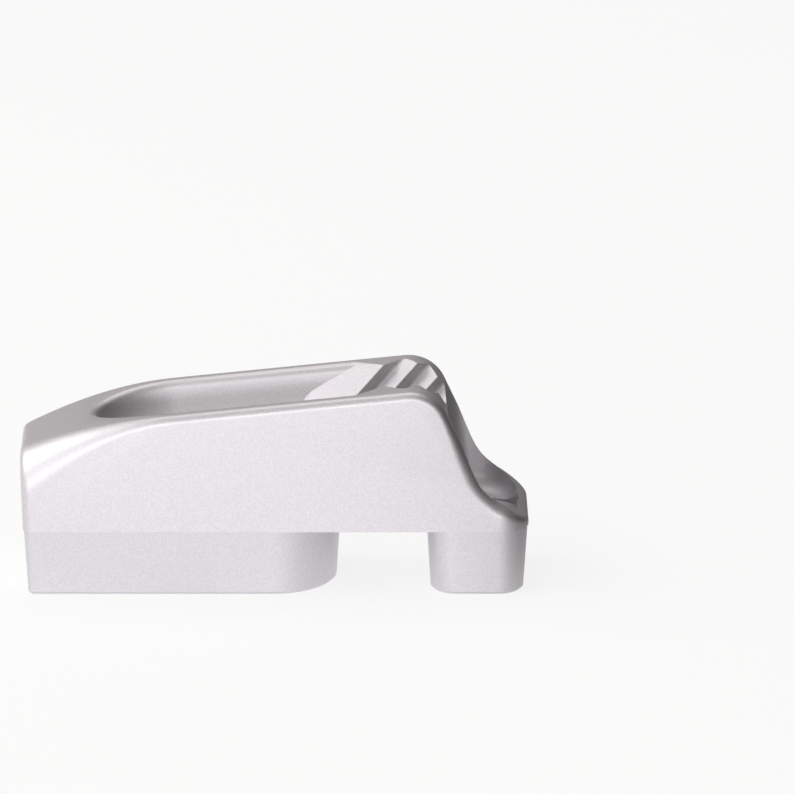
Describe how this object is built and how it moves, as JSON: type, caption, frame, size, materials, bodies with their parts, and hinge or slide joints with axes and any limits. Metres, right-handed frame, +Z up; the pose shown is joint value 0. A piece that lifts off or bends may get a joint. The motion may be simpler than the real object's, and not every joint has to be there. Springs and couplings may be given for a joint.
{
  "type": "jam cleat",
  "caption": "Cast aluminium jam cleat on two feet: a rope trough leads into a V-shaped throat with slanted teeth, and a tail pocket runs down to a lip",
  "frame": {"origin": "Centre of the bounding box's bottom face, on the deck plane that the two feet stand on.", "axes": "+X runs along the rope from the load end with the spoon-shaped trough to the tail end with the lip; +Y runs across the part, which is its shortest way, and is the same on both sides; +Z points up from the deck."},
  "size_m": [0.082, 0.0226, 0.0342],
  "materials": {
    "cast_aluminium": "fine bead-blasted, satin"
  },
  "bodies": {
    "root": {"cleat_body": "cast_aluminium"}
  },
  "joints": []
}
